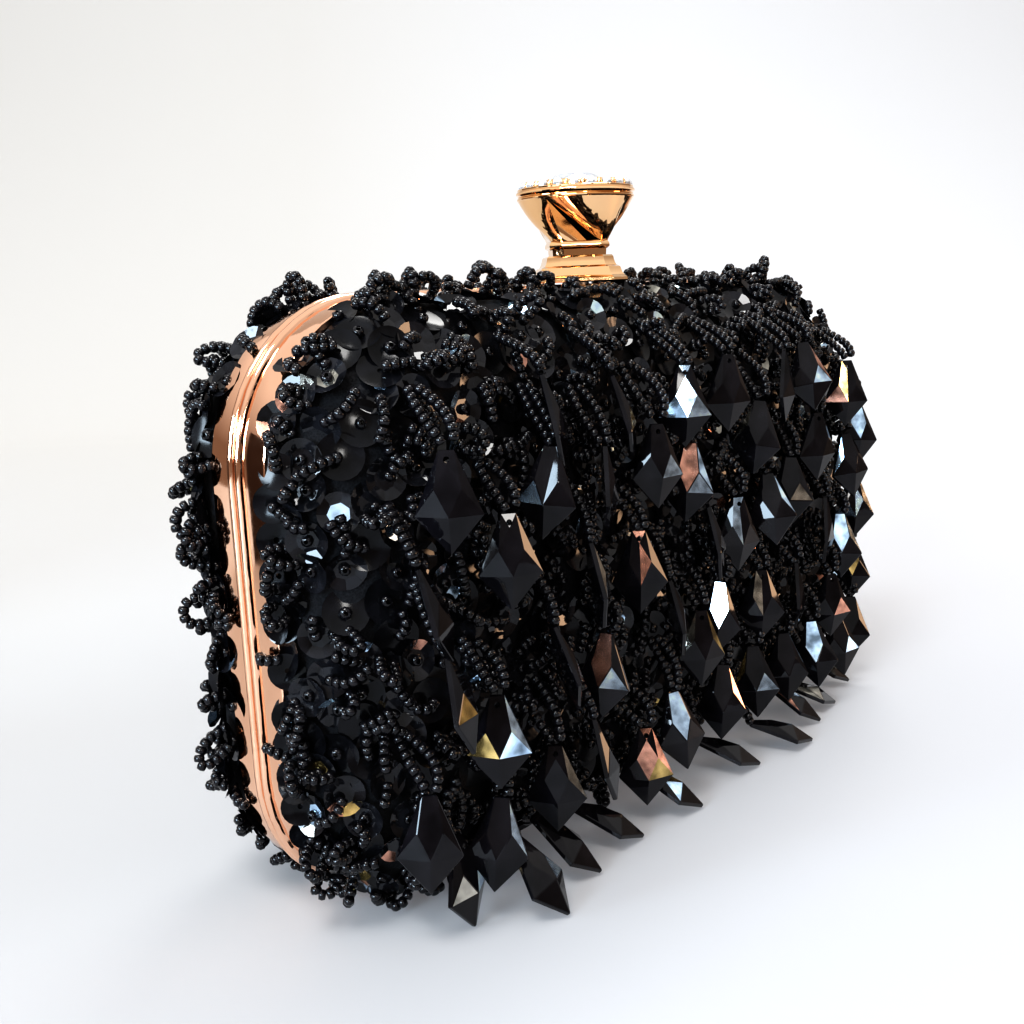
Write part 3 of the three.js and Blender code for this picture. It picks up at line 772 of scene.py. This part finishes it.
def hang(gathered, top, turn):
    """Two bead strands from the fabric down to the hole of a drop, apart in the middle."""
    x, y, z = top
    start_z = min(z + rng.uniform(8, 12.5) * MM, HEIGHT - 8 * MM)
    start = np.array([x, SEAM_Y - cover_depth(x, start_z, FABRIC_TOP) - 1.2 * MM, start_z])
    end = np.array([x, y, z + 0.1 * MM])
    across = np.array([math.cos(turn), math.sin(turn), 0]) * BEAD_R * 1.02
    sway, gap = rng.uniform(-1.2, 1.2) * MM, rng.uniform(0.3, 2.2)
    for way in (-1, 1):
        points = []
        for t in np.linspace(0, 1, 15):
            spread = across * way * (0.75 + gap * math.sin(math.pi * t)) * (1 - 0.35 * t)
            swell = np.array([sway * math.sin(math.pi * t), 0, 0])
            middle = start * (1 - t) + end * t
            middle[1] = start[1] + (y - start[1]) * (1 - (1 - t) ** 1.7)
            points.append(middle + spread + swell)
        gathered.add(points)


# Drops that hang still among the swinging ones: x, height of the top, and turn in degrees.
STILL_DROPS = [
    (-55, 99, 42), (-33, 97, 44), (-88, 70, 38), (-54, 86, -62), (26, 86, -58), (52, 98, -46),
    (84, 80, -42), (-4, 80, -62), (0, 66, 40), (30, 68, -50), (44, 70, -64), (76, 72, -30),
    (-44, 66, 50), (-84, 54, 30), (-56, 52, 58), (-38, 46, -78), (-16, 52, 46), (8, 46, -48),
    (74, 50, -54), (88, 40, -50), (-88, 30, -45), (-44, 30, 35), (-14, 26, -30), (8, 26, -52),
    (24, 26, -60), (40, 25, -46), (56, 24, -60), (72, 22, -36), (-72, 24, -52), (84, 24, -56),
]

# Drops that reach the floor along the bottom: x and distance forward of the seam of the tip,
# then heading and lean in degrees.
FLOOR_DROPS = [
    (-79, 30, 10, 10), (-66, 42, 12, 40), (-33, 37, 45, 62), (-14, 40, 38, 58), (13, 40, 42, 66),
    (33, 44, 48, 70), (60, 38, 50, 66), (78, 34, 40, 60), (-50, 38, 30, 50), (46, 40, 30, 55),
]


def place_floor_drops(places, turns, gathered):
    """Drops that lean back from a tip that almost touches the floor."""
    for x, forward, heading, lean in FLOOR_DROPS:
        turn = Matrix.Rotation(math.radians(heading), 3, "Z")
        turn = turn @ Matrix.Rotation(math.radians(-lean), 3, "X")
        tip = Vector((x * MM, SEAM_Y - forward * MM, FLOOR_GAP))
        top = tip - turn @ Vector((0, 0, -KITE_HEIGHT))
        places.append(tuple(top))
        turns.append(np.array(turn))
        hang(gathered, tuple(top + turn @ Vector((0, KITE_HOLE_Y, 0))), math.radians(heading))


def make_still_drops(gathered):
    """One piece with all the drops that don't swing, on their bead strands."""
    base = kite_shape()
    places, turns = [], []
    place_floor_drops(places, turns, gathered)
    for x, z, degrees in STILL_DROPS:
        x, z = x * MM, z * MM
        turn = math.radians(degrees)
        y = SEAM_Y - cover_depth(x, z, 2.8 * MM) - rng.uniform(4.0, 5.2) * MM
        tilt = Matrix.Rotation(turn, 3, "Z") @ Matrix.Rotation(rng.uniform(-0.28, -0.08), 3, "X")
        tilt = tilt @ Matrix.Rotation(rng.uniform(-0.12, 0.12), 3, "Y")
        places.append((x, y, z))
        turns.append(np.array(tilt))
        hang(gathered, (x, y + KITE_HOLE_Y, z), turn)
    mesh = copies("still_drops", *base, np.array(turns), np.array(places), False)
    piece = new_object("still_drops", mesh, drop_gloss, "front_half")
    single = mesh_from("single_drop", *base, False)
    groups = []
    for k in range(len(places)):
        first = k * len(base[1])
        groups += [[first + n for n in facet] for facet in facets(single) if rng.random() < STILL_FOIL_GLINT_SHARE]
    bpy.data.meshes.remove(single)
    # Some forward- and up-facing facets of the drops get foil colours, partly a coating and partly painted
    # glints.
    paint_foils_and_glints(piece, groups)


def dress_swinging_drop(node, gathered):
    """Gloss, foil that is partly a coating and partly painted glints, and bead strands for a packed drop.
    """
    piece = recolour(node, drop_gloss)
    paint_foils_and_glints(piece, [facet for facet in facets(piece.data) if rng.random() < SWINGING_FOIL_GLINT_SHARE])
    bevel(piece, KITE_EDGE)
    joint = next(j for j in frame["joints"] if j["name"] == f"{node}_swing")
    x, y, _ = joint["pos_m"]
    hang(gathered, (x, y + KITE_HOLE_Y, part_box(node)[1].z), math.radians(-45))


# ---- knob details ----

STONE_RING_R, STONE_R, STONES = 11.9 * MM, 1.15 * MM, 20
NECK_HALF, NECK_TOP_Z, CUT_SHARE = 6.5 * MM, 124.4 * MM, 0.18
RIM_R, RIM_Z = 13.2 * MM, 133.7 * MM


def cut_square(half, z):
    """Eight corners of a square with cut corners, its flats facing the diagonals."""
    flat = half * (1 - 2 * CUT_SHARE)
    corners = []
    for quarter in range(4):
        turn = Matrix.Rotation(math.radians(45 + 90 * quarter), 3, "Z")
        corners += [turn @ Vector((half, -flat, 0)), turn @ Vector((half, flat, 0))]
    return [Vector((c.x, SEAM_Y + c.y, z)) for c in corners]


def make_knob_cup():
    """Cup: flat triangles rise from the neck's flats to the rim, with bowed fans between."""
    build = bmesh.new()
    base = cut_square(NECK_HALF, NECK_TOP_Z)
    fan, rise, lean, fullest = 14, 8, 7, 1.3 * MM

    def on_rim(step):
        angle = math.radians(lean) + step / fan * math.pi / 2
        return Vector((RIM_R * math.cos(angle), SEAM_Y + RIM_R * math.sin(angle), RIM_Z))

    def bowed(start, end, share, bulge):
        point = start.lerp(end, share)
        out = Vector((point.x, point.y - SEAM_Y, 0)).normalized()
        return point + out * bulge * math.sin(math.pi * share ** 0.8)

    for quarter in range(4):
        left, right, following = base[2 * quarter], base[2 * quarter + 1], base[(2 * quarter + 2) % 8]
        build.faces.new([build.verts.new(p) for p in (left, right, on_rim(quarter * fan))])
        grid = []
        for k in range(fan + 1):
            start = right.lerp(following, k / fan)
            bulge = fullest * math.sin(math.pi * k / fan) ** 0.5 if 0 < k < fan else 0
            rim = on_rim(quarter * fan + k)
            grid.append([build.verts.new(bowed(start, rim, m / rise, bulge)) for m in range(rise + 1)])
        for k in range(fan):
            for m in range(rise):
                corners = [grid[k][m], grid[k + 1][m], grid[k + 1][m + 1], grid[k][m + 1]]
                build.faces.new(corners).smooth = True
    bmesh.ops.remove_doubles(build, verts=build.verts, dist=0.01 * MM)
    add_turned(build, [(12.9, 133.5), (13.15, 133.65), (13.4, 133.9), (13.45, 134.15), (13.25, 134.4),
                       (13.15, 134.55), (13.3, 134.7), (12.6, 134.7)])
    add_cut_tower(build, [(6.1, 119.9), (6.1, 121.1), (6.2, 122.6), (6.55, 122.8), (6.85, 123.1),
                          (6.9, 123.5), (6.8, 123.9), (6.5, 124.4)])
    finish_metal(build, "knob_cup", "knob")


def make_knob_base():
    """Stepped plinth with a sloping shoulder up to the neck."""
    build = bmesh.new()
    add_cut_tower(build, [(0.5, 115.25), (10.4, 115.25), (10.5, 115.5), (10.4, 116.1), (9.9, 116.5),
                          (9.4, 117.2), (9.1, 118.1), (8.95, 118.5), (8.6, 118.7), (8.2, 118.9),
                          (7.9, 119.5), (7.7, 120.2), (7.6, 120.8), (7.3, 121.15), (6.9, 121.2),
                          (6.9, 119.8)])
    finish_metal(build, "knob_base", "front_half")


def circle(radius, z, steps=96):
    """Points of a circle round the knob's axis."""
    angles = [k * 2 * math.pi / steps for k in range(steps)]
    return [(radius * math.cos(a), SEAM_Y + radius * math.sin(a), z) for a in angles]


def add_turned(build, profile):
    """Skin turned about the knob's axis: profile is (radius, height) in millimetres."""
    join_rows(build, [circle(radius * MM, z * MM) for radius, z in profile])


def add_cut_tower(build, profile):
    """Skin through cut squares: profile is (half side, height) in millimetres."""
    join_rows(build, [cut_square(half * MM, z * MM) for half, z in profile])


def join_rows(build, outlines):
    """Smooth faces from each outline to the next."""
    rows = [[build.verts.new(point) for point in line] for line in outlines]
    for low, high in zip(rows, rows[1:]):
        for k in range(len(low)):
            j = (k + 1) % len(low)
            build.faces.new([low[k], low[j], high[j], high[k]]).smooth = True


def finish_metal(build, node, body):
    """Turn the skins into a piece that replaces its plain node."""
    bmesh.ops.recalc_face_normals(build, faces=build.faces)
    mesh = bpy.data.meshes.new(f"{node}_look")
    build.to_mesh(mesh)
    build.free()
    mesh.set_sharp_from_angle(angle=math.radians(24))
    piece = new_object(f"{node}_look", mesh, knob_gold, body)
    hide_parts(node)


def faceted_gem(rings):
    """Convex gem through rings of (radius, height, count, start angle in degrees)."""
    build = bmesh.new()
    for radius, height, count, start in rings:
        for k in range(count):
            angle = math.radians(start) + k * 2 * math.pi / count
            build.verts.new((radius * math.cos(angle), radius * math.sin(angle), height))
    bmesh.ops.convex_hull(build, input=build.verts)
    bmesh.ops.dissolve_limit(build, angle_limit=math.radians(1), verts=build.verts, edges=build.edges)
    return points_and_faces(build)


def make_knob_bezel():
    """Bezel: an outer lip, a gutter for the small stones and an inner lip round the crystal."""
    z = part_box("knob_bezel")[0].z / MM - 0.7
    build = bmesh.new()
    add_turned(build, [(8.9, z), (13.3, z), (13.55, z + 0.12), (13.65, z + 0.35), (13.55, z + 0.6),
                       (13.3, z + 0.75), (13.25, z + 0.95), (13.3, z + 1.2), (13.1, z + 1.35),
                       (12.8, z + 1.4), (12.6, z + 1.2), (11.0, z + 1.2), (10.6, z + 2.2), (10.2, z + 2.6),
                       (9.7, z + 2.8), (9.3, z + 2.7), (8.9, z + 2.4), (8.9, z)])
    finish_metal(build, "knob_bezel", "knob")


def make_centre_crystal():
    """Centre crystal with a cut crown."""
    low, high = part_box("centre_crystal")
    radius, height = (high.x - low.x) / 2, high.z - low.z
    points, faces = faceted_gem([
        (radius, 0, 16, 0), (radius, 0.25 * height, 16, 0), (radius * 0.80, 0.62 * height, 8, 22.5),
        (radius * 0.52, 0.95 * height, 8, 0),
    ])
    mesh = mesh_from("centre_crystal_look", points + np.array([0, SEAM_Y, low.z]), faces, False)
    piece = new_object("centre_crystal_look", mesh, crystal, "knob")
    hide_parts("centre_crystal")


def make_gem_ring(name, gem, half_steps, smooth, material):
    """Ring of small gems or claws in the bezel's gutter, started a number of half steps round."""
    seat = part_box("knob_bezel")[0].z + 0.5 * MM
    angles = np.arange(STONES) * 2 * math.pi / STONES
    spread = angles + half_steps * math.pi / STONES
    places = np.stack([STONE_RING_R * np.cos(spread), SEAM_Y + STONE_RING_R * np.sin(spread),
                       np.full(STONES, seat)], -1)
    turns = np.array([np.array(Matrix.Rotation(a, 3, "Z")) for a in angles])
    piece = new_object(name, copies(name, *gem, turns, places, smooth), material, "knob")


def make_small_stones():
    """The ring of small stones and the claws between them."""
    stone = faceted_gem([
        (STONE_R, 0, 10, 0), (STONE_R, 0.7 * MM, 10, 0), (STONE_R * 0.72, 1.35 * MM, 10, 18),
        (STONE_R * 0.35, 1.65 * MM, 5, 0),
    ])
    claw = faceted_gem([
        (0.75 * MM, 0, 8, 0), (0.7 * MM, 0.9 * MM, 8, 0), (0.5 * MM, 1.3 * MM, 8, 0),
        (0.2 * MM, 1.5 * MM, 8, 0),
    ])
    make_gem_ring("small_stones", stone, 0, False, crystal)
    make_gem_ring("stone_claws", claw, 1, True, knob_gold)


# ---- build the bag ----

make_frame("front_frame", FRONT, "front_half")
make_frame("rear_frame", REAR, "rear_half")
front_cover = make_cover("front_cover", FRONT, "front_half")
rear_cover = make_cover("rear_cover", REAR, "rear_half")
front_lining = make_lining("front_lining", FRONT, "front_half")
rear_lining = make_lining("rear_lining", REAR, "rear_half")

front_strings = embroider(FRONT, "front_half", seed=21, strings=0.55)
rear_strings = embroider(REAR, "rear_half", seed=33, strings=0.5)
drop_strings = Strings()
for node in frame["nodes"]:
    if node.startswith("kite"):
        dress_swinging_drop(node, drop_strings)
make_still_drops(drop_strings)
front_strings.build("front_bead_strings", "front_half")
rear_strings.build("rear_bead_strings", "rear_half")
drop_strings.build("drop_bead_strings", "front_half")

for node in ("hinge_leaf_front", "hinge_leaf_rear"):
    bevel(recolour(node, rose_gold), 0.15 * MM)
recolour("stem_bush", knob_gold)
make_knob_cup()
make_knob_base()
make_knob_bezel()
for node in (
    "hinge_pin", "press_stem", "press_spring", "lock_bracket", "latch_pin", "latch_hook", "keeper",
):
    recolour(node, steel)
for node in ("front_shell", "rear_shell"):
    recolour(node, shell_board)
make_centre_crystal()
make_small_stones()

# ---- stage, light and camera ----


def towards(azimuth, elevation):
    """Direction away from the bag. Azimuth 0 is in front, 90 on the right and -90 on the left."""
    a, e = math.radians(azimuth), math.radians(elevation)
    return Vector((math.sin(a) * math.cos(e), -math.cos(a) * math.cos(e), math.sin(e)))


CAMERA_AZIMUTH, CAMERA_ELEVATION, CAMERA_ROLL, CAMERA_LENS = -49.85, 11.25, -2.41, 39.4
CAMERA_BACK = towards(CAMERA_AZIMUTH, CAMERA_ELEVATION)
CAMERA_SPOT = Vector((-27.2 * MM, SEAM_Y, 65.6 * MM)) + CAMERA_BACK * 249.9 * MM


def floor_material():
    """White paper with painted light: painted shade makes it darker and warmer on the left, painted light
    makes it brighter and bluer on the right, and a painted glow grows towards the backdrop.
    """
    material, tree, shader = principled("floor", Roughness=0.6, Emission_Strength=1.0)
    place = tree.nodes.new("ShaderNodeTexCoord")
    split = tree.nodes.new("ShaderNodeSeparateXYZ")
    tree.links.new(place.outputs["Object"], split.inputs["Vector"])
    # X: painted shade and light across the paper; Y: painted glow, dim near the camera and growing towards
    # the backdrop.
    for axis, scale, start, low, high, socket in (
        ("X", 2.2, 0.5, (0.312, 0.305, 0.298), (0.360, 0.370, 0.395), "Base Color"),
        ("Y", 1.0, 0.0, (0.035, 0.037, 0.048), (0.275, 0.27, 0.258), "Emission Color"),
    ):
        spread = tree.nodes.new("ShaderNodeMath")
        spread.operation = "MULTIPLY_ADD"
        spread.inputs[1].default_value, spread.inputs[2].default_value = scale, start
        tree.links.new(split.outputs[axis], spread.inputs[0])
        tree.links.new(ramp(tree, spread.outputs[0], low, high), shader.inputs[socket])
    return material


def make_floor():
    """White paper: a floor that widens away from the camera and sweeps up into a backdrop."""
    bend, radius, top = 0.95, 0.45, 1.6
    profile = [(-0.80, 0.0), (-0.10, 0.0), (bend, 0.0)]
    for angle in np.linspace(0, math.pi / 2, 14)[1:]:
        profile.append((bend + radius * math.sin(angle), radius - radius * math.cos(angle)))
    profile.append((bend + radius, top))
    points = []
    for away, height in profile:
        right = 0.16 + 0.62 * max(away, 0)
        points += [(-max(right, 0.6), away, height), (right, away, height)]
    faces = [(2 * k, 2 * k + 1, 2 * k + 3, 2 * k + 2) for k in range(len(profile) - 1)]
    mesh = mesh_from("floor", points, faces)
    piece = bpy.data.objects.new("floor", mesh)
    bpy.context.scene.collection.objects.link(piece)
    mesh.materials.append(floor_material())
    piece.rotation_euler.z = math.radians(CAMERA_AZIMUTH)
    piece.location = (CAMERA_SPOT.x, CAMERA_SPOT.y, 0)


def make_card(name, azimuth, distance, size, colour):
    """Upright card beyond the left end of the bag, seen only as a reflection in the metal."""
    away = towards(azimuth, 0)
    aside = Vector((0, 0, 1)).cross(away) * size[0] / 2
    foot = Vector((-HALF_WIDTH, SEAM_Y, 0)) + away * distance
    rise = Vector((0, 0, size[1]))
    points = [foot - aside, foot + aside, foot + aside + rise, foot - aside + rise]
    piece = bpy.data.objects.new(name, mesh_from(name, points, [(0, 1, 2, 3)]))
    bpy.context.scene.collection.objects.link(piece)
    piece.data.materials.append(principled(name, Base_Color=colour, Roughness=0.8)[0])


def area_light(name, azimuth, elevation, distance, size, power, colour):
    """Soft light that looks at the bag."""
    light = bpy.data.lights.new(name, "AREA")
    light.shape, light.size, light.size_y = "RECTANGLE", size[0], size[1]
    light.energy, light.color = power, colour
    away = towards(azimuth, elevation)
    lamp = bpy.data.objects.new(name, light)
    bpy.context.scene.collection.objects.link(lamp)
    lamp.location = Vector((0, 0, HEIGHT / 2)) + away * distance
    lamp.rotation_mode = "QUATERNION"
    lamp.rotation_quaternion = (-away).to_track_quat("-Z", "Y")


def make_camera():
    """Camera at the front left, a little above the bag and rolled slightly."""
    right = Vector((0, 0, 1)).cross(CAMERA_BACK).normalized()
    right = Matrix.Rotation(math.radians(CAMERA_ROLL), 3, CAMERA_BACK) @ right
    up = CAMERA_BACK.cross(right)
    data = bpy.data.cameras.new("camera")
    data.sensor_width, data.lens = 36, CAMERA_LENS
    data.clip_start = 0.01
    camera = bpy.data.objects.new("camera", data)
    bpy.context.scene.collection.objects.link(camera)
    place = Matrix((right, up, CAMERA_BACK)).transposed().to_4x4()
    place.translation = CAMERA_SPOT
    camera.matrix_world = place
    bpy.context.scene.camera = camera


def make_world():
    """Room that is pale above and dim and warm at the sides."""
    world = bpy.data.worlds.new("room")
    world.use_nodes = True
    tree = world.node_tree
    place = tree.nodes.new("ShaderNodeTexCoord")
    split = tree.nodes.new("ShaderNodeSeparateXYZ")
    tree.links.new(place.outputs["Generated"], split.inputs["Vector"])
    colour = ramp(tree, split.outputs["Z"], (0.24, 0.185, 0.15), (0.84, 0.83, 0.82), 0.12, 0.60)
    tree.links.new(colour, tree.nodes["Background"].inputs["Color"])
    bpy.context.scene.world = world


make_floor()
make_world()
make_card("dark_card", -128, 0.3, (0.15, 0.17), (0.03, 0.016, 0.010))
area_light("key", -72, 58, 1.0, (0.42, 0.26), 5.5, (1.0, 0.99, 0.97))
area_light("left_window", -82, 15, 1.0, (0.36, 0.34), 9.0, (0.68, 0.85, 1.0))
area_light("far_left_window", -115, 15, 1.0, (0.28, 0.34), 7.0, (0.72, 0.87, 1.0))
area_light("overhead", 110, 60, 1.1, (0.35, 0.35), 3.4, (1.0, 0.99, 0.97))
area_light("front_spark", -34, 17, 1.0, (0.12, 0.14), 1.0, (1.0, 0.98, 0.95))
area_light("warm_side", 38, 9, 1.0, (0.26, 0.26), 2.2, (1.0, 0.66, 0.42))
make_camera()
bpy.context.scene.view_settings.view_transform = "Standard"
bpy.context.scene.view_settings.look = "High Contrast"
